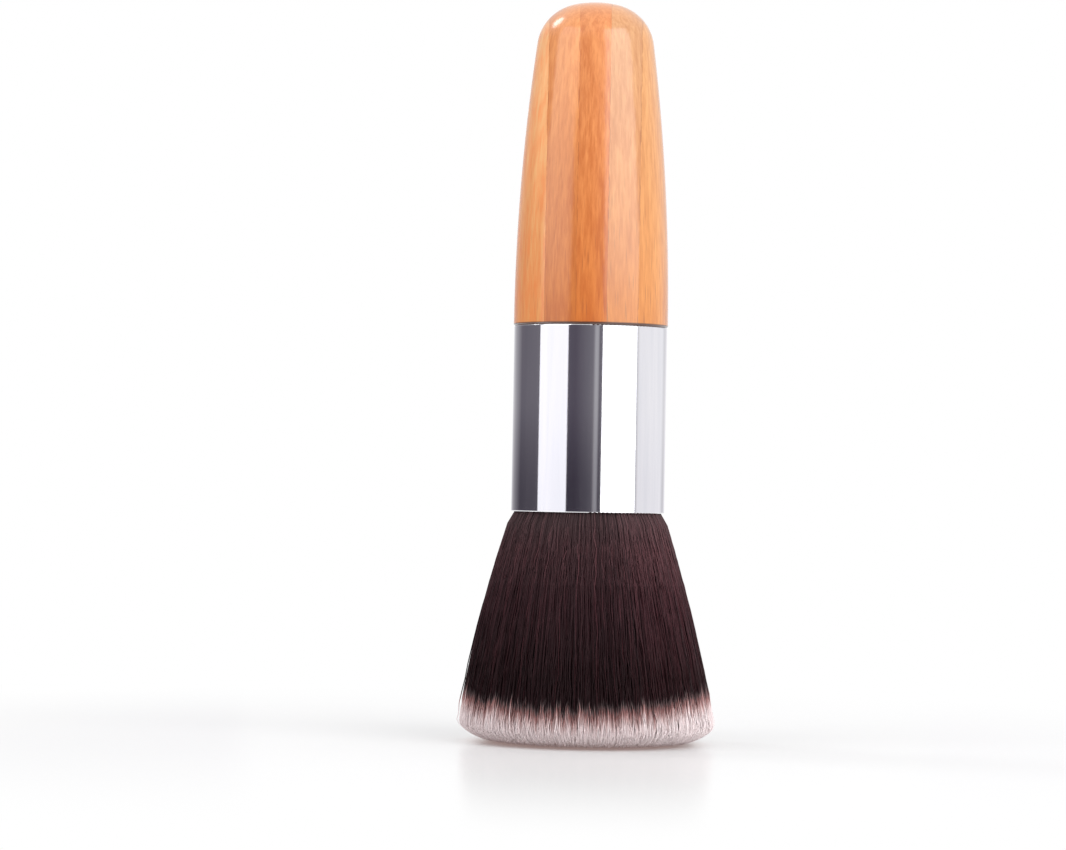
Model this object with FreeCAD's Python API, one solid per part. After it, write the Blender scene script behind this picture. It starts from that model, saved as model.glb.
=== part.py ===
import FreeCAD, Part
import math
import os

# A flat-topped kabuki makeup brush that stands on its bristle tips.
# Millimetres, +Z up along the brush's axis, origin at the middle of the flat face of the tips.

# Ferrule: a thin drawn tube
FERRULE_DIAMETER = 26.0
FERRULE_LENGTH = 31.5
FERRULE_WALL = 0.5
FERRULE_EDGE_RADIUS = 0.2

# Handle: turned from a glued bamboo blank, with a tenon that enters the ferrule
HANDLE_LENGTH = 55.2
HANDLE_SHOULDER_STEP = 0.1
HANDLE_SHOULDER_CHAMFER = 0.25
HANDLE_TOP_DIAMETER = 20.0
HANDLE_CROWN_RADIUS = 17.0
handle_corner_share = 0.78
STRIP_COUNT = 5

# Tenon, its glue grooves and the film of adhesive round it
TENON_LENGTH = 14.0
TENON_LEAD_IN = 0.8
GLUE_FILM = 0.15
GLUE_SETBACK = 0.8
GROOVE_DEPTH = 0.5
GROOVE_WIDTH = 1.4
groove_place_shares = (0.3, 0.6)

# Bristle root: the tied and potted end of the bundle inside the ferrule
TENON_TO_PLUG_GAP = 1.5
PLUG_CAP = 3.0
POTTING_FILM = 0.3
potted_share = 0.62
THREAD_DIAMETER = 0.5
THREAD_TURNS = 6
binding_place_share = 0.55

# Free bristles: a bundle that flares to a face that is flat in its middle and domed towards its rim
BRISTLE_LENGTH = 39.0
MOUTH_SWELL = 0.6
MOUTH_SWELL_DROP = 0.7
TIP_DIAMETER = 43.6
TIP_RIM_WIDTH = 7.5
TIP_RIM_HEIGHT = 2.8
SIDE_BULGE = 0.75
WHITE_LENGTH = 3.2
NECK_LENGTH = 12.0

# One overrun serves every cut
OVERRUN = 1.0

# Radii and heights that follow from the sizes above
ferrule_radius = FERRULE_DIAMETER / 2
bore_radius = ferrule_radius - FERRULE_WALL
mouth_height = BRISTLE_LENGTH
joint_height = mouth_height + FERRULE_LENGTH
top_height = joint_height + HANDLE_LENGTH
shoulder_radius = ferrule_radius + HANDLE_SHOULDER_STEP
tenon_radius = bore_radius - GLUE_FILM
tenon_end_height = joint_height - TENON_LENGTH
plug_top_height = tenon_end_height - TENON_TO_PLUG_GAP
root_end_height = plug_top_height - PLUG_CAP
root_length = root_end_height - mouth_height
potted_height = root_end_height - potted_share * root_length
bundle_radius = bore_radius - POTTING_FILM
tip_radius = TIP_DIAMETER / 2

AXIS_POINT = FreeCAD.Vector(0, 0, 0)
AXIS = FreeCAD.Vector(0, 0, 1)
FULL_TURN = 360


def at(radius, height):
    """A point of a turned outline, drawn in the XZ plane."""
    return FreeCAD.Vector(radius, 0, height)


def line(start, end):
    return Part.LineSegment(start, end).toShape()


def arc(start, end, centre):
    """The short arc from start to end about centre."""
    middle_direction = (start - centre).normalize() + (end - centre).normalize()
    middle = centre + middle_direction.normalize() * (start - centre).Length
    return Part.Arc(start, middle, end).toShape()


def bulged_arc(start, end, bulge):
    """The arc from start to end that stands out from its chord, away from the axis, by bulge."""
    chord = end - start
    outward = FreeCAD.Vector(chord.z, 0, -chord.x).normalize()
    if outward.x < 0:
        outward = outward * -1
    middle = (start + end) * 0.5 + outward * bulge
    return Part.Arc(start, middle, end).toShape()


def polyline(*points):
    return [line(start, end) for start, end in zip(points, points[1:])]


def turned(edges):
    """The solid that a closed outline makes when it is turned about the brush's axis."""
    return Part.Face(Part.Wire(edges)).revolve(AXIS_POINT, AXIS, FULL_TURN)


def turned_ring(inner_radius, outer_radius, low, high):
    corners = (
        at(inner_radius, low),
        at(outer_radius, low),
        at(outer_radius, high),
        at(inner_radius, high),
        at(inner_radius, low),
    )
    return turned(polyline(*corners))


def make_ferrule():
    """The drawn tube, with the outer edge of each end rounded."""
    edge = FERRULE_EDGE_RADIUS
    low, high = mouth_height, joint_height
    rounded = ferrule_radius - edge
    outline = polyline(at(rounded, high), at(bore_radius, high), at(bore_radius, low), at(rounded, low))
    outline.append(arc(at(rounded, low), at(ferrule_radius, low + edge), at(rounded, low + edge)))
    outline.append(line(at(ferrule_radius, low + edge), at(ferrule_radius, high - edge)))
    outline.append(arc(at(ferrule_radius, high - edge), at(rounded, high), at(rounded, high - edge)))
    return turned(outline)


def handle_grip_outline():
    """The grip above its chamfer: one long side arc, a rounded corner and a crowned top, all tangent."""
    top_radius = HANDLE_TOP_DIAMETER / 2
    corner_radius = handle_corner_share * top_radius
    side_low = joint_height + HANDLE_SHOULDER_CHAMFER

    crown_centre = at(0, top_height - HANDLE_CROWN_RADIUS)
    corner_offset = top_radius - corner_radius
    corner_rise = math.sqrt((HANDLE_CROWN_RADIUS - corner_radius) ** 2 - corner_offset**2)
    corner_centre = at(corner_offset, crown_centre.z + corner_rise)
    crown_end = crown_centre + (corner_centre - crown_centre).normalize() * HANDLE_CROWN_RADIUS

    # The side is upright at the shoulder and tangent to the corner, which fixes its radius.
    reach = shoulder_radius - corner_offset
    rise = corner_centre.z - side_low
    side_radius = (reach**2 + rise**2 - corner_radius**2) / (2 * (reach - corner_radius))
    side_centre = at(shoulder_radius - side_radius, side_low)
    side_end = corner_centre + (corner_centre - side_centre).normalize() * corner_radius

    return [
        arc(at(shoulder_radius, side_low), side_end, side_centre),
        arc(side_end, crown_end, corner_centre),
        arc(crown_end, at(0, top_height), crown_centre),
    ]


def make_turned_handle():
    """The whole handle as it leaves the lathe, before it is told apart into its strips."""
    outline = polyline(
        at(0, top_height),
        at(0, tenon_end_height),
        at(tenon_radius - TENON_LEAD_IN, tenon_end_height),
        at(tenon_radius, tenon_end_height + TENON_LEAD_IN),
        at(tenon_radius, joint_height),
        at(shoulder_radius - HANDLE_SHOULDER_CHAMFER, joint_height),
        at(shoulder_radius, joint_height + HANDLE_SHOULDER_CHAMFER),
    )
    handle = turned(outline + handle_grip_outline())
    for share in groove_place_shares:
        low = tenon_end_height + share * TENON_LENGTH
        groove = turned_ring(tenon_radius - GROOVE_DEPTH, tenon_radius + OVERRUN, low, low + GROOVE_WIDTH)
        handle = handle.cut(groove)
    return handle


def split_into_strips(handle):
    """The strips of the glued blank: equal slabs side by side along X, each full height."""
    blank_width = 2 * shoulder_radius
    thickness = blank_width / STRIP_COUNT
    strips = []
    for index in range(STRIP_COUNT):
        left = index * thickness - shoulder_radius
        corner = FreeCAD.Vector(left, -shoulder_radius, tenon_end_height)
        slab = Part.makeBox(thickness, blank_width, top_height - tenon_end_height, corner)
        strips.append(handle.common(slab))
    return strips


def make_tenon_glue(handle):
    """The adhesive round the tenon. It fills the tenon's grooves and stops short of the joint line."""
    low = tenon_end_height + TENON_LEAD_IN
    film = turned_ring(tenon_radius - GROOVE_DEPTH, bore_radius, low, joint_height - GLUE_SETBACK)
    return film.cut(handle)


def binding_heights():
    """Lowest and highest point of the close-wound turns round the bundle."""
    middle = potted_height + binding_place_share * (root_end_height - potted_height)
    half = THREAD_TURNS * THREAD_DIAMETER / 2
    return middle - half, middle + half


def make_binding_thread():
    """The close-wound turns as one band, sunk into the bundle that they draw in."""
    return turned_ring(bundle_radius - THREAD_DIAMETER, bundle_radius, *binding_heights())


def make_bristle_roots(thread):
    """The bundle inside the ferrule: it fills the bore at the mouth and is drawn in where it is potted."""
    outline = polyline(
        at(0, mouth_height),
        at(bore_radius, mouth_height),
        at(bore_radius, potted_height),
        at(bundle_radius, potted_height),
        at(bundle_radius, root_end_height),
        at(0, root_end_height),
        at(0, mouth_height),
    )
    return turned(outline).cut(thread)


def make_root_plug():
    """The epoxy round the potted bundle and over the ends of its fibres."""
    outline = polyline(
        at(bundle_radius, root_end_height),
        at(bundle_radius, potted_height),
        at(bore_radius, potted_height),
        at(bore_radius, plug_top_height),
        at(0, plug_top_height),
        at(0, root_end_height),
        at(bundle_radius, root_end_height),
    )
    return turned(outline)


def make_free_bundle():
    """All the free bristles as one body: a swell below the mouth, the flare and the flat tips."""
    mouth = at(bore_radius, mouth_height)
    swell = at(bore_radius + MOUTH_SWELL, mouth_height - MOUTH_SWELL_DROP)
    rim_top = at(tip_radius, TIP_RIM_HEIGHT)
    flat_edge = at(tip_radius - TIP_RIM_WIDTH, 0)
    rim_radius = (TIP_RIM_WIDTH**2 + TIP_RIM_HEIGHT**2) / (2 * TIP_RIM_HEIGHT)
    outline = [
        line(at(0, mouth_height), mouth),
        line(mouth, swell),
        bulged_arc(swell, rim_top, SIDE_BULGE),
        arc(rim_top, flat_edge, at(flat_edge.x, rim_radius)),
        line(flat_edge, at(0, 0)),
        line(at(0, 0), at(0, mouth_height)),
    ]
    return turned(outline)


def make_free_bristles():
    """Neck, shafts and tips: the free bundle divided at the bend and at the colour change on its side."""
    bundle = make_free_bundle()
    neck_low = mouth_height - NECK_LENGTH
    colour_height = TIP_RIM_HEIGHT + WHITE_LENGTH
    stretches = ((neck_low, mouth_height), (colour_height, neck_low), (0, colour_height))
    reach = tip_radius + OVERRUN
    return [
        bundle.common(Part.makeCylinder(reach, high - low, at(0, low), AXIS)) for low, high in stretches
    ]


def single_solid(shape):
    """The one solid of a shape, so that each sub-part is written as a plain solid."""
    if len(shape.Solids) != 1:
        raise ValueError("a sub-part has to be one solid")
    return shape.Solids[0]


def make_sub_parts():
    handle = make_turned_handle()
    thread = make_binding_thread()
    neck, shafts, tips = make_free_bristles()
    sub_parts = {
        "ferrule": make_ferrule(),
        "tenon_glue": make_tenon_glue(handle),
        "root_plug": make_root_plug(),
        "binding_thread": thread,
        "bristle_roots": make_bristle_roots(thread),
        "bristle_neck": neck,
        "bristle_shafts": shafts,
        "bristle_tips": tips,
    }
    for number, strip in enumerate(split_into_strips(handle), start=1):
        sub_parts[f"handle_strip_{number}"] = strip
    return sub_parts


os.makedirs("parts", exist_ok=True)
for node, shape in make_sub_parts().items():
    solid = single_solid(shape)
    solid.exportStep(f"parts/{node}.step")
    print(node, "valid" if solid.isValid() else "NOT VALID", f"{solid.Volume:.1f} mm3")
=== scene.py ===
import math

import bpy
import numpy as np
from mathutils import Matrix, Vector


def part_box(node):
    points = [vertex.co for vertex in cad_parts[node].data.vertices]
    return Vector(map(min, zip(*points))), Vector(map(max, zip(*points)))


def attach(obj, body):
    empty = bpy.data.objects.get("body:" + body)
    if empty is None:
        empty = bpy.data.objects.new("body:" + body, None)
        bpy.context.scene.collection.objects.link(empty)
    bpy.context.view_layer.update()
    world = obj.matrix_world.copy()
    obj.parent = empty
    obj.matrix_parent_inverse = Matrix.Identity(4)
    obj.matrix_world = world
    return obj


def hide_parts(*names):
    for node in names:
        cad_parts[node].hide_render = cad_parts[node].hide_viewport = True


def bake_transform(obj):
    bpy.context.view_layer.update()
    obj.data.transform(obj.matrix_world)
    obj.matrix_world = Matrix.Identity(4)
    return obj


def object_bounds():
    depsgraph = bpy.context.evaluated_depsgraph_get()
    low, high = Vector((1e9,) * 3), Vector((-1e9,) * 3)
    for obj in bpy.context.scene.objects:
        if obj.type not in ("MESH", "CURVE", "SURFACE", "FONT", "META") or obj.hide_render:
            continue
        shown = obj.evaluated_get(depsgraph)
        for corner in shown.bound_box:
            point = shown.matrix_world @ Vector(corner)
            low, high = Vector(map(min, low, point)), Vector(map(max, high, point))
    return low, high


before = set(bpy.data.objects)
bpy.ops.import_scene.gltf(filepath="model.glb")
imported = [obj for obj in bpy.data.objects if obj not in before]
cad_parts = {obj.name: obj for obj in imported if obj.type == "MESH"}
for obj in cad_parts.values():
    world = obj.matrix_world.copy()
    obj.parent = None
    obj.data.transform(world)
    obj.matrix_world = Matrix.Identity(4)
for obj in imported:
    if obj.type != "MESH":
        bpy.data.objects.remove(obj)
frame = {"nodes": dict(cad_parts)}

CAD_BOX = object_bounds()
MM = 0.001
rng = np.random.default_rng(7)

# Places read from the frame, in metres
MOUTH_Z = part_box("ferrule")[0].z
JOINT_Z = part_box("ferrule")[1].z
BEND_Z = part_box("bristle_neck")[0].z
BEND_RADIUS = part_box("bristle_neck")[1].x
COLOUR_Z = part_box("bristle_tips")[1].z
COLOUR_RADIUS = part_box("bristle_shafts")[1].x
TIP_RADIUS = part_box("bristle_tips")[1].x
BORE_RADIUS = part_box("bristle_roots")[1].x

# Dome of the tips: flat in its middle, then rising to the rim
DOME_WIDTH = 7.5 * MM
DOME_HEIGHT = 2.8 * MM

# Fibres
FIBRE_COUNT = 6000
FIBRE_RADIUS = 0.088 * MM
FIBRE_LAYER_SHARE = 0.10
LOWER_RINGS = 13
UPPER_RINGS = 8
WOBBLE_IN = 0.11 * MM
WOBBLE_ACROSS = 0.15 * MM
STRAY_SHARE = 0.02
RIM_ROUNDING = 0.5 * MM
REACH_SHARE = 0.95
TIP_RING_CROWDING = 2.0
CALM_TIP_RINGS = 4
LEAN = 0.5 * MM
INNER_FIBRE_COUNT = 9000
INNER_FIBRE_LENGTH = 7.0 * MM
INNER_RINGS = 4
WHITE_SPREAD = 1.3 * MM
COLUMNS = 256
SIDES = 3
END_SPREAD = 0.25 * MM
END_CLEARANCE = 0.05 * MM
HELD_LENGTH = 4.0 * MM
OUTER_TAPER_LENGTH = 6.0 * MM
INNER_TAPER_LENGTH = 3.0 * MM
FIBRES_INTO_FERRULE = 2.0 * MM

# Clumps of fibres, and the kinds that each fibre is picked from
CLUMP_ANGLE = 0.034
CLUMP_SPREAD = 0.28 * MM
KIND_SPREAD = 0.5 * MM
KIND_REACH = 8
KIND_CHOICES = 8

# Core behind the fibres
CORE_SEGMENTS = 240
CORE_LOW = 2.4 * MM
CORE_INTO_FERRULE = 1.5 * MM
CORE_RIPPLE = 0.006
BLEND_MARGIN = 0.3 * MM

# Bamboo: pattern scales along X, Y and Z, widths and colours
GRAIN_SCALE = (1700, 1700, 170)
SLOW_SCALE = (260, 260, 45)
VESSEL_SCALE = (2100, 2100, 150)
GLUE_BREAK_SCALE = (0, 0, 420)
GLUE_LINE = (0.07 * MM, 0.18 * MM)
# Heights above the joint, and colour, of the painted shade on the handle at the ferrule
JOINT_SHADE_BAND = (0.28 * MM, 0.48 * MM)
JOINT_SHADE_COLOUR = (0.075, 0.026, 0.012)
CROWN_COLOUR = (0.74, 0.33, 0.135)
# Light and dark tone of each strip, and its tint at the ferrule, which is painted shade: darker and deeper in
# colour low down, as if lit from above
STRIP_COLOURS = (
    ((1.00, 0.57, 0.258), (1.00, 0.40, 0.147), (0.79, 0.60, 0.41)),
    ((0.84, 0.340, 0.110), (0.69, 0.234, 0.064), (0.71, 0.54, 0.27)),
    ((0.76, 0.29, 0.094), (0.60, 0.185, 0.048), (0.80, 0.61, 0.30)),
    ((0.67, 0.35, 0.155), (0.555, 0.250, 0.097), (0.95, 0.67, 0.32)),
    ((0.75, 0.38, 0.145), (0.615, 0.275, 0.091), (0.96, 0.76, 0.47)),
)


# Materials

def new_material(name):
    """A node material and its parts: (material, nodes, links, Principled shader)."""
    material = bpy.data.materials.new(name)
    material.use_nodes = True
    tree = material.node_tree
    return material, tree.nodes, tree.links, tree.nodes["Principled BSDF"]


def colour_ramp(nodes, links, factor, stops):
    """Colour output of a ramp of (place, (r, g, b)) stops."""
    ramp = nodes.new("ShaderNodeValToRGB")
    elements = ramp.color_ramp.elements
    while len(elements) < len(stops):
        elements.new(0.5)
    for element, (place, colour) in zip(elements, stops):
        element.position = place
        element.color = (*colour, 1)
    links.new(factor, ramp.inputs["Fac"])
    return ramp.outputs["Color"]


def map_range(nodes, links, value, source, target, smooth=False):
    """A value mapped from one range to another, held at the ends."""
    node = nodes.new("ShaderNodeMapRange")
    node.interpolation_type = "SMOOTHSTEP" if smooth else "LINEAR"
    links.new(value, node.inputs["Value"])
    node.inputs["From Min"].default_value, node.inputs["From Max"].default_value = source
    node.inputs["To Min"].default_value, node.inputs["To Max"].default_value = target
    return node.outputs["Result"]


def object_coordinates(nodes, links, scale, shift=(0, 0, 0)):
    """Object coordinates scaled and shifted, for patterns that are long in one direction."""
    place = nodes.new("ShaderNodeTexCoord")
    mapping = nodes.new("ShaderNodeMapping")
    mapping.inputs["Scale"].default_value = scale
    mapping.inputs["Location"].default_value = shift
    links.new(place.outputs["Object"], mapping.inputs["Vector"])
    return mapping.outputs["Vector"]


def noise(nodes, links, vector, detail, roughness=0.5):
    node = nodes.new("ShaderNodeTexNoise")
    node.inputs["Scale"].default_value = 1.0
    node.inputs["Detail"].default_value = detail
    node.inputs["Roughness"].default_value = roughness
    links.new(vector, node.inputs["Vector"])
    return node.outputs["Fac"]


def mix_colours(nodes, links, factor, first, second, blend="MIX"):
    """Mixes two colours; each argument is an output or a plain value."""
    mix = nodes.new("ShaderNodeMix")
    mix.data_type = "RGBA"
    mix.blend_type = blend
    for socket, value in ((mix.inputs["Factor"], factor), (mix.inputs[6], first), (mix.inputs[7], second)):
        if isinstance(value, bpy.types.NodeSocket):
            links.new(value, socket)
        elif isinstance(value, tuple):
            socket.default_value = (*value, 1)
        else:
            socket.default_value = value
    return mix.outputs[2]


def math_node(nodes, links, operation, first, second):
    node = nodes.new("ShaderNodeMath")
    node.operation = operation
    for socket, value in zip(node.inputs, (first, second)):
        if isinstance(value, bpy.types.NodeSocket):
            links.new(value, socket)
        else:
            socket.default_value = value
    return node.outputs["Value"]


def bamboo_material(number, glued_edges, light, dark, foot_shade):
    """A bamboo strip under clear lacquer: long fibres, short dark vessels and slow changes of tone.
    glued_edges are the places along X where it meets other strips; foot_shade is painted shade at the
    ferrule: a darker, deeper tint that fades towards the top, as if the strip were lit from above."""
    material, nodes, links, shader = new_material(f"bamboo_strip_{number}")
    shift = (3.7 * number, 1.9 * number, 0.6 * number)
    middle = tuple((a + b) / 2 for a, b in zip(light, dark))
    fibres = noise(nodes, links, object_coordinates(nodes, links, GRAIN_SCALE, shift), 5.0, 0.62)
    colour = colour_ramp(nodes, links, fibres, ((0.36, dark), (0.5, middle), (0.63, light)))
    slow = noise(nodes, links, object_coordinates(nodes, links, SLOW_SCALE, shift), 2.0)
    shade = colour_ramp(nodes, links, slow, ((0.35, (0.90, 0.84, 0.78)), (0.65, (1.0, 1.0, 1.0))))
    colour = mix_colours(nodes, links, 1.0, colour, shade, "MULTIPLY")

    place = nodes.new("ShaderNodeTexCoord")
    split = nodes.new("ShaderNodeSeparateXYZ")
    links.new(place.outputs["Object"], split.inputs["Vector"])
    height = map_range(nodes, links, split.outputs["Z"], (JOINT_Z, CAD_BOX[1].z), (0, 1))
    # Painted shade: the strip is darker and deeper in colour towards the ferrule and paler towards the top,
    # as if lit from above.
    painted_foot_shade = colour_ramp(nodes, links, height, ((0.0, foot_shade), (0.87, (1.0, 1.0, 1.0))))
    colour = mix_colours(nodes, links, 1.0, colour, painted_foot_shade, "MULTIPLY")
    # The end grain at the crown is more alike from strip to strip.
    crown = map_range(nodes, links, height, (0.90, 0.99), (0.0, 0.5), smooth=True)
    colour = mix_colours(nodes, links, crown, colour, CROWN_COLOUR)

    vessels = nodes.new("ShaderNodeTexVoronoi")
    vessels.inputs["Scale"].default_value = 1.0
    links.new(object_coordinates(nodes, links, VESSEL_SCALE, shift), vessels.inputs["Vector"])
    amount = map_range(nodes, links, vessels.outputs["Distance"], (0.10, 0.30), (0.22, 0.0))
    # They are darker towards the ferrule.
    darker = map_range(nodes, links, height, (0.0, 0.5), (3.4, 1.0))
    amount = math_node(nodes, links, "MULTIPLY", amount, darker)
    vessel_colour = (0.62 * dark[0], 0.50 * dark[1], 0.42 * dark[2])
    colour = mix_colours(nodes, links, amount, colour, vessel_colour)

    # The strips are glued: a thin line shows here and there along their edges.
    breaks = noise(nodes, links, object_coordinates(nodes, links, GLUE_BREAK_SCALE, shift), 2.0)
    strength = map_range(nodes, links, breaks, (0.48, 0.62), (0.04, 0.70))
    for edge in glued_edges:
        beside = math_node(nodes, links, "SUBTRACT", split.outputs["X"], edge)
        beside = math_node(nodes, links, "ABSOLUTE", beside, 0)
        near = map_range(nodes, links, beside, GLUE_LINE, (1.0, 0.0))
        glued = math_node(nodes, links, "MULTIPLY", near, strength)
        colour = mix_colours(nodes, links, glued, colour, vessel_colour)

    # Painted shade: the handle is darkened in a thin band just above the ferrule, standing in for the shade
    # in the groove at the joint.
    joint_shade_heights = tuple(JOINT_Z + height_above for height_above in JOINT_SHADE_BAND)
    painted_joint_shade = map_range(nodes, links, split.outputs["Z"], joint_shade_heights, (1.0, 0.0))
    colour = mix_colours(nodes, links, painted_joint_shade, colour, JOINT_SHADE_COLOUR)
    links.new(colour, shader.inputs["Base Color"])

    bump = nodes.new("ShaderNodeBump")
    bump.inputs["Strength"].default_value = 0.12
    bump.inputs["Distance"].default_value = 0.1 * MM
    links.new(fibres, bump.inputs["Height"])
    links.new(bump.outputs["Normal"], shader.inputs["Normal"])
    links.new(map_range(nodes, links, fibres, (0, 1), (0.40, 0.58)), shader.inputs["Roughness"])
    shader.inputs["Specular IOR Level"].default_value = 0.3
    shader.inputs["Coat Weight"].default_value = 1.0
    shader.inputs["Coat Roughness"].default_value = 0.16
    return material


def ferrule_material():
    """Bright plated tube: a mirror with faint drawing marks."""
    material, nodes, links, shader = new_material("ferrule_mirror")
    shader.inputs["Metallic"].default_value = 1.0
    marks = noise(nodes, links, object_coordinates(nodes, links, (700, 700, 40)), 3.0)
    links.new(map_range(nodes, links, marks, (0, 1), (0.04, 0.09)), shader.inputs["Roughness"])
    tint = colour_ramp(nodes, links, marks, ((0.3, (0.86, 0.87, 0.90)), (0.7, (0.93, 0.93, 0.95))))
    links.new(tint, shader.inputs["Base Color"])
    return material


def fibre_material():
    """Synthetic fibres: each its own brown, and white at the tip. The brown is painted lighter and greyer
    towards the ferrule, as light and sheen, and darker away from it.
    """
    material, nodes, links, shader = new_material("bristle_fibres")

    def attribute(name):
        node = nodes.new("ShaderNodeAttribute")
        node.attribute_name = name
        return node.outputs["Fac"]

    tone = attribute("fibre_tone")
    spread = colour_ramp(nodes, links, tone, (
        (0.0, (0.20, 0.21, 0.21)),
        (0.42, (0.44, 0.44, 0.44)),
        (1.0, (1.60, 1.40, 1.38)),
    ))
    # Painted light and sheen: the brown is lighter and greyer towards the ferrule and darker lower down.
    brown = colour_ramp(nodes, links, attribute("height_share"), (
        (0.30, (0.030, 0.0080, 0.0108)),
        (0.62, (0.070, 0.0245, 0.0315)),
        (0.84, (0.118, 0.0520, 0.0600)),
        (1.0, (0.125, 0.0720, 0.0780)),
    ))
    brown = mix_colours(nodes, links, 1.0, brown, spread, "MULTIPLY")
    # White fibres. Their pink tint is painted light bounced from the brown fibres.
    white = colour_ramp(nodes, links, tone, (
        (0.0, (0.86, 0.72, 0.72)),
        (0.42, (0.92, 0.80, 0.80)),
        (1.0, (0.96, 0.90, 0.90)),
    ))
    fade = map_range(nodes, links, attribute("above_white"), (-2.9, 2.2), (0, 1), smooth=True)
    colour = mix_colours(nodes, links, fade, white, brown)
    stain = colour_ramp(nodes, links, fade, (
        (0.0, (1.0, 1.0, 1.0)),
        (0.35, (1.0, 0.82, 0.80)),
        (0.72, (1.0, 0.54, 0.51)),
        (1.0, (1.0, 1.0, 1.0)),
    ))
    links.new(mix_colours(nodes, links, 1.0, colour, stain, "MULTIPLY"), shader.inputs["Base Color"])
    shader.inputs["Roughness"].default_value = 0.48
    shader.inputs["Specular IOR Level"].default_value = 0.12
    return material


def mottled_material(name, low, high, scale, roughness):
    """A plain mottled material for what is inside the ferrule."""
    material, nodes, links, shader = new_material(name)
    mottle = noise(nodes, links, object_coordinates(nodes, links, (scale, scale, scale)), 2.0)
    links.new(colour_ramp(nodes, links, mottle, ((0.3, low), (0.7, high))), shader.inputs["Base Color"])
    shader.inputs["Roughness"].default_value = roughness
    return material


# Bristles

SIDE = np.polyfit((DOME_HEIGHT, COLOUR_Z, BEND_Z), (TIP_RADIUS, COLOUR_RADIUS, BEND_RADIUS), 2)
MOUTH_SWELL_DROP = 0.7 * MM
MOUTH_MARGIN = 0.12 * MM


def bundle_radius(z):
    """Outer radius of the free bundle at a height; inside the ferrule it is the bore's."""
    free = np.polyval(SIDE, z)
    inside = np.clip((z - (MOUTH_Z - MOUTH_SWELL_DROP)) / MOUTH_SWELL_DROP, 0, 1)
    return free + (BORE_RADIUS - MOUTH_MARGIN - free) * inside


def dome(radius):
    """Height of the tips' face at a radius."""
    arc_radius = (DOME_WIDTH**2 + DOME_HEIGHT**2) / (2 * DOME_HEIGHT)
    out = np.clip(radius - (TIP_RADIUS - DOME_WIDTH), 0, DOME_WIDTH)
    return arc_radius - np.sqrt(arc_radius**2 - out**2)


def dome_radius(height):
    """Radius at which the tips' face has a height. Above its rim it goes on widening, past the bundle."""
    arc_radius = (DOME_WIDTH**2 + DOME_HEIGHT**2) / (2 * DOME_HEIGHT)
    height = np.minimum(height, arc_radius)
    return TIP_RADIUS - DOME_WIDTH + np.sqrt(2 * arc_radius * height - height**2)


# Fibres are of COLUMNS kinds, each with its own tone and its own height of the colour change.
COLUMN_TONE = np.clip(rng.normal(0.42, 0.13, COLUMNS), 0, 1)
COLUMN_SHIFT = np.sort(rng.normal(0, WHITE_SPREAD, COLUMNS))


def pick_columns(azimuth):
    """A kind for each fibre: the colour change rises towards both sides, and differs from clump to clump."""
    right = np.cos(azimuth)
    rise = (-0.6 + 0.5 * right + 2.4 * right**2) * MM
    clump = np.floor(azimuth / CLUMP_ANGLE).astype(int)
    clump_shift = rng.normal(0, CLUMP_SPREAD, clump.max() + 1)[clump]
    shift = rise + clump_shift + rng.normal(0, KIND_SPREAD, len(azimuth))
    step = rng.integers(-KIND_REACH, KIND_REACH + 1, (KIND_CHOICES, len(azimuth)))
    near = np.searchsorted(COLUMN_SHIFT, shift) + step
    near = np.clip(near, 0, COLUMNS - 1)
    # Painted light: towards the right, where the key light falls, the lightest of the kinds at hand is taken
    # more often.
    lightest = np.take_along_axis(near, COLUMN_TONE[near].argmax(0)[None], 0)[0]
    return np.where(rng.random(len(azimuth)) < (right - 0.2) / 0.5, lightest, near[0])


def link(name, mesh):
    piece = bpy.data.objects.new(name, mesh)
    bpy.context.scene.collection.objects.link(piece)
    return piece


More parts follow.
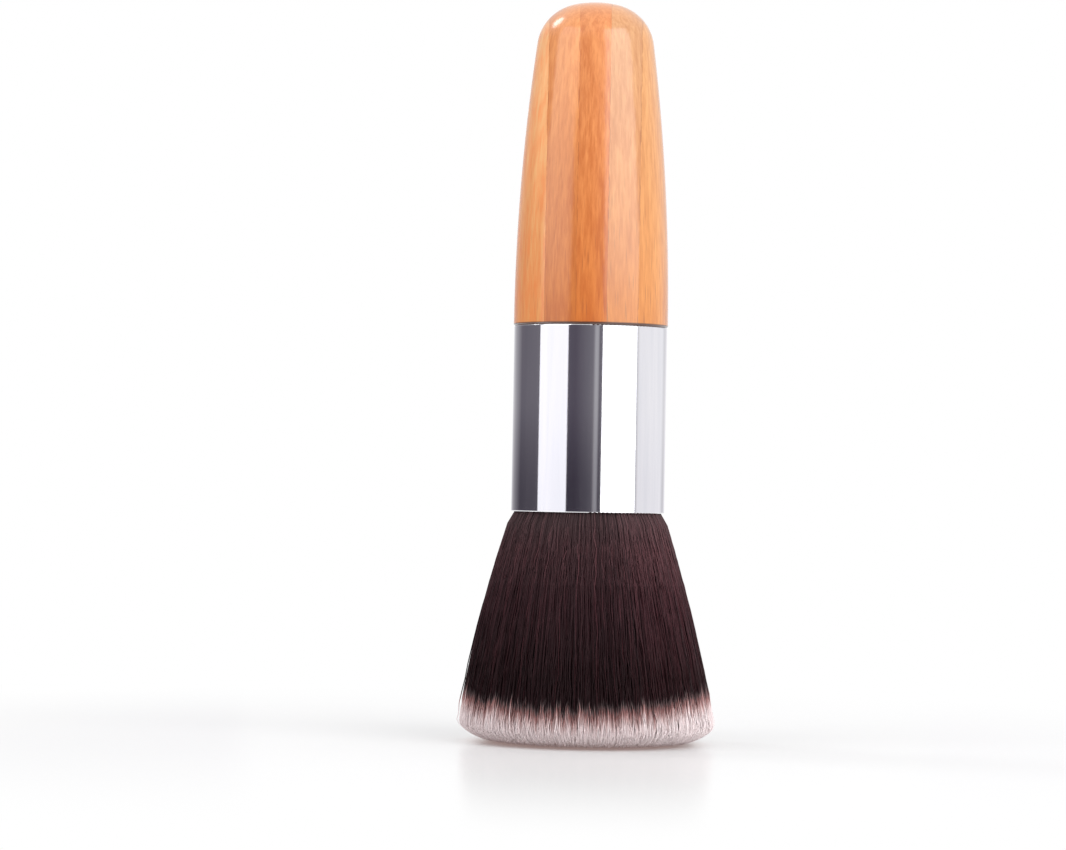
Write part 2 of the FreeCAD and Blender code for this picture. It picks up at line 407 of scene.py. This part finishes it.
def tubes(name, centres, radii, turn, columns):
    """One mesh of closed thin tubes. centres is (fibres, rings, 3), radii (fibres, rings), turn and columns
    (fibres,). The map gives each kind of fibre a column, with height up it."""
    fibres, rings = radii.shape
    side = np.arange(SIDES)
    angle = turn[:, None] + side * 2 * math.pi / SIDES
    ring = np.stack([np.cos(angle), np.sin(angle), np.zeros_like(angle)], -1)
    points = centres[:, :, None, :] + radii[:, :, None, None] * ring[:, None, :, :]
    # The end rings come twice: the second time for the caps, so that the sides stay smooth up to their ends.
    points = np.concatenate([points, points[:, [0, -1]]], axis=1)
    heights = np.concatenate([centres[:, :, 2], centres[:, [0, -1], 2]], axis=1)
    rows = rings + 2
    first = np.arange(fibres)[:, None, None] * rows * SIDES
    low = first + (np.arange(rings - 1) * SIDES)[None, :, None]
    following = (side + 1) % SIDES
    high = low + SIDES
    quads = np.stack([low + side, low + following, high + following, high + side], -1).reshape(-1, 4)
    cap = first[:, 0] + rings * SIDES
    caps = np.concatenate([cap + side[::-1], cap + SIDES + side])

    mesh = bpy.data.meshes.new(name)
    mesh.vertices.add(points.size // 3)
    mesh.vertices.foreach_set("co", points.ravel())
    corners = np.concatenate([quads.ravel(), caps.ravel()]).astype(np.int32)
    counts = np.concatenate([np.full(len(quads), 4), np.full(len(caps), SIDES)])
    mesh.loops.add(len(corners))
    mesh.loops.foreach_set("vertex_index", corners)
    mesh.polygons.add(len(counts))
    mesh.polygons.foreach_set("loop_start", (np.cumsum(counts) - counts).astype(np.int32))
    mesh.polygons.foreach_set("use_smooth", counts == 4)

    share = np.repeat((heights / MOUTH_Z).ravel(), SIDES)
    column = np.repeat(columns, rows * SIDES)
    across = np.concatenate([np.tile((0.1, 0.9, 0.9, 0.1), len(quads)), np.tile((0.1, 0.9, 0.5), len(caps))])
    layer = mesh.uv_layers.new(name="OFBake")
    places = np.stack([(column[corners] + across) / COLUMNS, np.clip(share[corners] * 0.9, 0, 1)], -1)
    layer.uv.foreach_set("vector", places.ravel().astype(np.float32))
    above_white = (share * MOUTH_Z - COLOUR_Z - COLUMN_SHIFT[column]) / MM
    set_attributes(mesh, fibre_tone=COLUMN_TONE[column], height_share=share, above_white=above_white)
    mesh.update()
    mesh.validate()
    return link(name, mesh)


def set_attributes(mesh, **values):
    for name, value in values.items():
        mesh.attributes.new(name, "FLOAT", "POINT").data.foreach_set("value", np.asarray(value, np.float32))


def lean(heights):
    """How far the bundle's middle stands to the right at a height."""
    return LEAN * np.clip(1 - heights / MOUTH_Z, 0, 1) ** 2


def fibre_paths(azimuth, share, heights, wobble, stray):
    """Centre lines of fibres that keep their share of the bundle's radius and turn in along its face. They
    wobble over and under each other, and strays stand off. heights and wobble start at the tips."""
    free = np.clip((MOUTH_Z - heights) / HELD_LENGTH, 0, 1)
    off = 1 + stray[:, None] * (1 - heights / MOUTH_Z) ** 2 * free
    side = share[:, None] * bundle_radius(heights) * off
    face = dome_radius(heights)
    rounding = RIM_ROUNDING * np.log1p(np.exp(-np.abs(side - face) / RIM_ROUNDING))
    radius = np.minimum(side, face) - rounding
    radius = radius - np.abs(wobble[:, :, 0]) * WOBBLE_IN * free
    angle = azimuth[:, None] + wobble[:, :, 1] * WOBBLE_ACROSS * free / np.maximum(radius, MM)
    return np.stack([radius * np.cos(angle) + lean(heights), radius * np.sin(angle), heights], -1)


def outer_bristles():
    """The fibres that show on the side: two pieces across the upper bend and three across the lower one."""
    count = FIBRE_COUNT
    azimuth = (np.arange(count) + rng.random(count)) * 2 * math.pi / count
    share = 1 - FIBRE_LAYER_SHARE * rng.random(count) ** 1.3
    columns = pick_columns(azimuth)
    turn = rng.uniform(0, 2 * math.pi, count)
    stray = np.where(rng.random(count) < STRAY_SHARE, rng.uniform(0.005, 0.035, count), 0)
    # Some fibres reach past the others' ends and follow the face inwards.
    reach = REACH_SHARE * rng.random(count)
    face = dome(share * TIP_RADIUS) * (1 - reach)
    end = face + np.abs(rng.normal(0, END_SPREAD, count)) + END_CLEARANCE
    lower = end[:, None] + (BEND_Z - end[:, None]) * np.linspace(0, 1, LOWER_RINGS) ** TIP_RING_CROWDING
    upper = np.tile(np.linspace(BEND_Z, MOUTH_Z + FIBRES_INTO_FERRULE, UPPER_RINGS)[1:], (count, 1))
    heights = np.concatenate([lower, upper], axis=1)
    wobble = rng.normal(0, 1, (*heights.shape, 2))
    wobble[:, :CALM_TIP_RINGS] *= 0.4
    centres = fibre_paths(azimuth, share, heights, wobble, stray)
    taper = 0.25 + 0.75 * np.clip((heights - end[:, None]) / OUTER_TAPER_LENGTH, 0, 1) ** 0.7
    radii = FIBRE_RADIUS * rng.uniform(0.8, 1.2, count)[:, None] * taper

    def pieces(names, rings):
        for name, fibres in zip(names, np.array_split(np.arange(count), len(names))):
            yield tubes(name, centres[fibres, rings], radii[fibres, rings], turn[fibres], columns[fibres])

    bend = LOWER_RINGS - 1
    upper_names = ("bristles_upper_back", "bristles_upper_front")
    lower_names = ("bristles_lower_right", "bristles_lower_left", "bristles_lower_front")
    uppers = list(pieces(upper_names, slice(bend, None)))
    lowers = list(pieces(lower_names, slice(0, bend + 1)))
    return uppers, lowers


def inner_tips():
    """The ends of the fibres inside the bundle, which make its face."""
    count = INNER_FIBRE_COUNT
    index = np.arange(count) + 0.5
    share = np.sqrt(index / count) * (1 - 0.5 * FIBRE_LAYER_SHARE)
    azimuth = index * math.pi * (3 - math.sqrt(5)) + rng.normal(0, 0.004, count)
    columns = rng.integers(0, COLUMNS // 2, count)
    end = dome(share * TIP_RADIUS) + np.abs(rng.normal(0, END_SPREAD, count)) + END_CLEARANCE
    heights = end[:, None] + INNER_FIBRE_LENGTH * np.linspace(0, 1, INNER_RINGS) ** 1.5
    wobble = rng.normal(0, 1, (*heights.shape, 2))
    centres = fibre_paths(azimuth, share, heights, wobble, np.zeros(count))
    taper = 0.3 + 0.7 * np.clip((heights - end[:, None]) / INNER_TAPER_LENGTH, 0, 1) ** 0.7
    radii = 1.35 * FIBRE_RADIUS * taper
    return tubes("bristle_tip_ends", centres, radii, rng.uniform(0, 2 * math.pi, count), columns)


def core(name, low, high, rings):
    """The mass of fibres behind the outer ones, as a turned surface with a kind of fibre for each segment."""
    segments = CORE_SEGMENTS
    heights = np.linspace(low, high, rings)
    angle = np.arange(segments) * 2 * math.pi / segments
    columns = rng.integers(0, COLUMNS, segments)
    ripple = 1 + CORE_RIPPLE * rng.normal(0, 1, segments)
    radius = (1 - 0.75 * FIBRE_LAYER_SHARE) * bundle_radius(heights)[:, None] * ripple
    z = np.repeat(heights[:, None], segments, 1)
    points = np.stack([radius * np.cos(angle) + lean(z), radius * np.sin(angle), z], -1).reshape(-1, 3)
    side = np.arange(segments)
    following = (side + 1) % segments
    faces = []
    for ring in range(rings - 1):
        below, above = ring * segments, (ring + 1) * segments
        faces += np.stack([below + side, below + following, above + following, above + side], -1).tolist()
    faces += [side[::-1].tolist(), ((rings - 1) * segments + side).tolist()]
    mesh = bpy.data.meshes.new(name)
    mesh.from_pydata(points.tolist(), [], faces)
    column = np.tile(columns, rings)
    above_white = (points[:, 2] - COLOUR_Z - COLUMN_SHIFT[column]) / MM
    set_attributes(mesh, fibre_tone=0.6 * COLUMN_TONE[column], height_share=points[:, 2] / MOUTH_Z,
                   above_white=above_white)
    for polygon in mesh.polygons:
        polygon.use_smooth = len(polygon.vertices) == 4
    return link(name, mesh)


def set_material(piece, material):
    piece.data.materials.clear()
    piece.data.materials.append(material)


def dress_cad_nodes():
    nodes = frame["nodes"]
    left_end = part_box("handle_strip_1")[0].x
    right_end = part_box(f"handle_strip_{len(STRIP_COLOURS)}")[1].x
    for number, colours in enumerate(STRIP_COLOURS, start=1):
        low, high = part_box(f"handle_strip_{number}")
        glued_edges = [edge for edge in (low.x, high.x) if left_end < edge < right_end]
        set_material(nodes[f"handle_strip_{number}"], bamboo_material(number, glued_edges, *colours))
    set_material(nodes["ferrule"], ferrule_material())
    adhesive = mottled_material("adhesive", (0.62, 0.52, 0.34), (0.78, 0.70, 0.52), 400, 0.3)
    set_material(nodes["tenon_glue"], adhesive)
    set_material(nodes["root_plug"], adhesive)
    thread = mottled_material("thread", (0.6, 0.57, 0.5), (0.8, 0.77, 0.7), 900, 0.8)
    set_material(nodes["binding_thread"], thread)
    roots = mottled_material("bristle_roots", (0.02, 0.01, 0.011), (0.05, 0.02, 0.022), 2500, 0.6)
    set_material(nodes["bristle_roots"], roots)


def make_bristles():
    uppers, lowers = outer_bristles()
    upper_core = core("bristle_core_upper", BEND_Z, MOUTH_Z + CORE_INTO_FERRULE, 8)
    lower_core = core("bristle_core_lower", CORE_LOW, BEND_Z, 16)
    tip_ends = inner_tips()
    material = fibre_material()
    neck_start, neck_end = (0, 0, MOUTH_Z - BLEND_MARGIN), (0, 0, BEND_Z + BLEND_MARGIN)
    head_start, head_end = (0, 0, BEND_Z - BLEND_MARGIN), (0, 0, COLOUR_Z)
    for piece in (*uppers, upper_core):
        set_material(piece, material)
        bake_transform(piece)
        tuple(neck_start)
        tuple(neck_end)
    for piece in (*lowers, lower_core):
        set_material(piece, material)
        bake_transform(piece)
        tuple(head_start)
        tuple(head_end)
    set_material(tip_ends, material)
    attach(tip_ends, "bristle_head")
    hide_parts("bristle_neck")
    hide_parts("bristle_shafts")
    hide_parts("bristle_tips")


# Stage: floor, cards, world, lamps and camera

FLOOR_HALF = 0.7
# Distances from the brush over which the floor changes
FOOT_GLOW = (0.015, 0.023)
FADE_TO_WHITE = (0.03, 0.17)


def background_rays(nodes, links):
    """1 for the rays that show the background: the camera's, and those that metal or glass sends on."""
    ray = nodes.new("ShaderNodeLightPath").outputs
    shown = math_node(nodes, links, "MAXIMUM", ray["Is Camera Ray"], ray["Is Glossy Ray"])
    return math_node(nodes, links, "MAXIMUM", shown, ray["Is Transmission Ray"])


def make_floor():
    """A pale floor with a faint gloss and a painted glow, which fades to plain white away from the brush."""
    half = FLOOR_HALF
    mesh = bpy.data.meshes.new("floor")
    corners = [(-half, -half, 0), (half, -half, 0), (half, half, 0), (-half, half, 0)]
    mesh.from_pydata(corners, [], [(0, 1, 2, 3)])
    floor = link("floor", mesh)
    material, nodes, links, shader = new_material("floor_white")
    shader.inputs["Base Color"].default_value = (0.70, 0.70, 0.70, 1)
    shader.inputs["Roughness"].default_value = 1.0
    shader.inputs["Specular IOR Level"].default_value = 0.0
    gloss = nodes.new("ShaderNodeBsdfGlossy")
    gloss.inputs["Roughness"].default_value = 0.20
    glossy = nodes.new("ShaderNodeMixShader")
    glossy.inputs["Fac"].default_value = 0.39
    links.new(gloss.outputs["BSDF"], glossy.inputs[2])
    place = nodes.new("ShaderNodeTexCoord")
    length = nodes.new("ShaderNodeVectorMath")
    length.operation = "LENGTH"
    links.new(place.outputs["Object"], length.inputs[0])
    # Painted light: the floor glows a little, evenly away from the brush and warmer under it, standing in for
    # light passed through the fibres.
    lift = nodes.new("ShaderNodeEmission")
    glow = map_range(nodes, links, length.outputs["Value"], FOOT_GLOW, (0, 1), smooth=True)
    lift_colour = mix_colours(nodes, links, glow, (0.33, 0.245, 0.225), (0.27, 0.27, 0.27))
    links.new(lift_colour, lift.inputs["Color"])
    lifted = nodes.new("ShaderNodeAddShader")
    links.new(shader.outputs["BSDF"], lifted.inputs[0])
    links.new(lift.outputs["Emission"], lifted.inputs[1])
    links.new(lifted.outputs["Shader"], glossy.inputs[1])
    far = map_range(nodes, links, length.outputs["Value"], FADE_TO_WHITE, (0, 1), smooth=True)
    white = nodes.new("ShaderNodeEmission")
    faded = nodes.new("ShaderNodeMixShader")
    fade = math_node(nodes, links, "MULTIPLY", far, background_rays(nodes, links))
    links.new(fade, faded.inputs["Fac"])
    links.new(glossy.outputs["Shader"], faded.inputs[1])
    links.new(white.outputs["Emission"], faded.inputs[2])
    links.new(faded.outputs["Shader"], nodes["Material Output"].inputs["Surface"])
    mesh.materials.append(material)


# Grey levels of the cards by azimuth in degrees from the front, positive to the right: dark on the left and
# in front, with one pale slit, and pale on the right. The softboxes stand before the rest.
STUDIO_SIDES = (
    (-180, 1.00), (-150, 0.42), (-124, 0.14), (-84, 0.16), (-22, 0.09), (5, 0.18), (8, 0.39), (12, 0.39),
    (14, 0.14), (75, 0.60), (79, 0.87), (138, 0.90), (150, 0.70), (168, 0.95), (180, 1.00),
)
CARD_CAST = (0.0, -0.012, 0.014)
CEILING = (0.80, 0.80, 0.81)
CARD_RADIUS = 1.3
CARD_HEIGHTS = (-0.5, 1.1)
CARD_CENTRE_Z = 0.055
CARD_AZIMUTHS_DEG = (-172, 172)
CARD_STEPS = 173


def make_cards():
    """Upright cards round the brush, out of the camera's sight, with a gap at the white backdrop. They are
    the studio's bright and dark sides, and pass into its ceiling."""
    azimuths = np.radians(np.linspace(*CARD_AZIMUTHS_DEG, CARD_STEPS))
    ring = [(CARD_RADIUS * math.sin(a), -CARD_RADIUS * math.cos(a)) for a in azimuths]
    points = [(x, y, z) for z in CARD_HEIGHTS for x, y in ring]
    faces = [(i, i + 1, CARD_STEPS + i + 1, CARD_STEPS + i) for i in range(CARD_STEPS - 1)]
    mesh = bpy.data.meshes.new("studio_cards")
    mesh.from_pydata(points, [], faces)
    cards = link("studio_cards", mesh)
    cards.location.z = CARD_CENTRE_Z
    cards.visible_camera = False
    material, nodes, links, shader = new_material("studio_cards")
    nodes.remove(shader)
    place = nodes.new("ShaderNodeTexCoord")
    direction = nodes.new("ShaderNodeVectorMath")
    direction.operation = "NORMALIZE"
    links.new(place.outputs["Object"], direction.inputs[0])
    split = nodes.new("ShaderNodeSeparateXYZ")
    links.new(direction.outputs["Vector"], split.inputs["Vector"])
    toward = math_node(nodes, links, "MULTIPLY", split.outputs["Y"], -1.0)
    angle = math_node(nodes, links, "ARCTAN2", split.outputs["X"], toward)
    turn = map_range(nodes, links, angle, (-math.pi, math.pi), (0, 1))
    stops = [(0.5 + azimuth / 360, tuple(level + cast for cast in CARD_CAST))
             for azimuth, level in STUDIO_SIDES]
    bands = colour_ramp(nodes, links, turn, stops)
    contrast = nodes.new("ShaderNodeGamma")
    links.new(bands, contrast.inputs["Color"])
    gamma = map_range(nodes, links, split.outputs["Z"], (-0.012, 0.022), (1.4, 1.0))
    links.new(gamma, contrast.inputs["Gamma"])
    high = map_range(nodes, links, split.outputs["Z"], (0.20, 0.65), (0, 1), smooth=True)
    surface = nodes.new("ShaderNodeEmission")
    links.new(mix_colours(nodes, links, high, contrast.outputs["Color"], CEILING), surface.inputs["Color"])
    links.new(surface.outputs["Emission"], nodes["Material Output"].inputs["Surface"])
    mesh.materials.append(material)


def make_world():
    """White as the background, in metal and glass too; the ceiling's level as light."""
    world = bpy.data.worlds.new("studio")
    bpy.context.scene.world = world
    world.use_nodes = True
    nodes, links = world.node_tree.nodes, world.node_tree.links
    colour = mix_colours(nodes, links, background_rays(nodes, links), CEILING, (1.0, 1.0, 1.0))
    links.new(colour, nodes["Background"].inputs["Color"])


def softbox(name, azimuths_deg, distance, low, high, radiance, colour=(1, 1, 1)):
    """An upright panel of light that spans two azimuths and two heights as seen from the brush."""
    width = 2 * distance * math.tan(math.radians(azimuths_deg[1] - azimuths_deg[0]) / 2)
    lamp = bpy.data.lights.new(name, "AREA")
    lamp.shape = "RECTANGLE"
    lamp.size, lamp.size_y = width, high - low
    lamp.energy = radiance * math.pi * width * (high - low)
    lamp.color = colour
    holder = link(name, lamp)
    azimuth = math.radians(sum(azimuths_deg) / 2)
    outward = Vector((math.sin(azimuth), -math.cos(azimuth), 0))
    holder.location = outward * distance + Vector((0, 0, (low + high) / 2))
    holder.rotation_euler = (-outward).to_track_quat("-Z", "Y").to_euler()
    holder.visible_camera = False


def small_lamp(name, place, size, radiance):
    lamp = bpy.data.lights.new(name, "AREA")
    lamp.shape = "DISK"
    lamp.size = size
    lamp.energy = radiance * math.pi * size**2
    holder = link(name, lamp)
    holder.location = place
    holder.rotation_euler = (-Vector(place)).to_track_quat("-Z", "Y").to_euler()
    holder.visible_camera = False


def make_lamps():
    right, left = (18.5, 73.5), (-80.8, -33.0)
    distance, foot_top, top = 0.9, 0.16, 1.0
    softbox("key_right", right, distance, foot_top, top, 3.4)
    softbox("key_right_foot", right, distance, 0.0, foot_top, 1.8)
    softbox("fill_left", left, distance, foot_top, top, 1.9)
    softbox("fill_left_foot", left, distance, 0.0, foot_top, 1.0, (0.97, 0.96, 1.0))
    small_lamp("back_left", (-0.64, 0.33, 0.75), 0.28, 6.0)


PHOTO_WIDTH_PX = 1066
FOCAL_PX = 3590
SENSOR_MM = 36.0
EYE = (0, -0.610, 0.0442)
TARGET = (-0.00954, 0, 0.0537)
ROLL_DEG = 1.0


def make_camera():
    camera = bpy.data.cameras.new("camera")
    camera.sensor_width = SENSOR_MM
    camera.lens = FOCAL_PX / PHOTO_WIDTH_PX * SENSOR_MM
    camera.clip_start = 0.01
    holder = link("camera", camera)
    eye, target = Vector(EYE), Vector(TARGET)
    roll = math.radians(ROLL_DEG)
    forward = (target - eye).normalized()
    level = forward.cross(Vector((0, 0, 1))).normalized()
    right = Matrix.Rotation(-roll, 3, forward) @ level
    turn = Matrix((right, right.cross(forward), -forward)).transposed()
    holder.matrix_world = Matrix.Translation(eye) @ turn.to_4x4()
    bpy.context.scene.camera = holder


dress_cad_nodes()
make_bristles()
make_floor()
make_cards()
make_world()
make_lamps()
make_camera()
bpy.context.scene.view_settings.view_transform = "Standard"
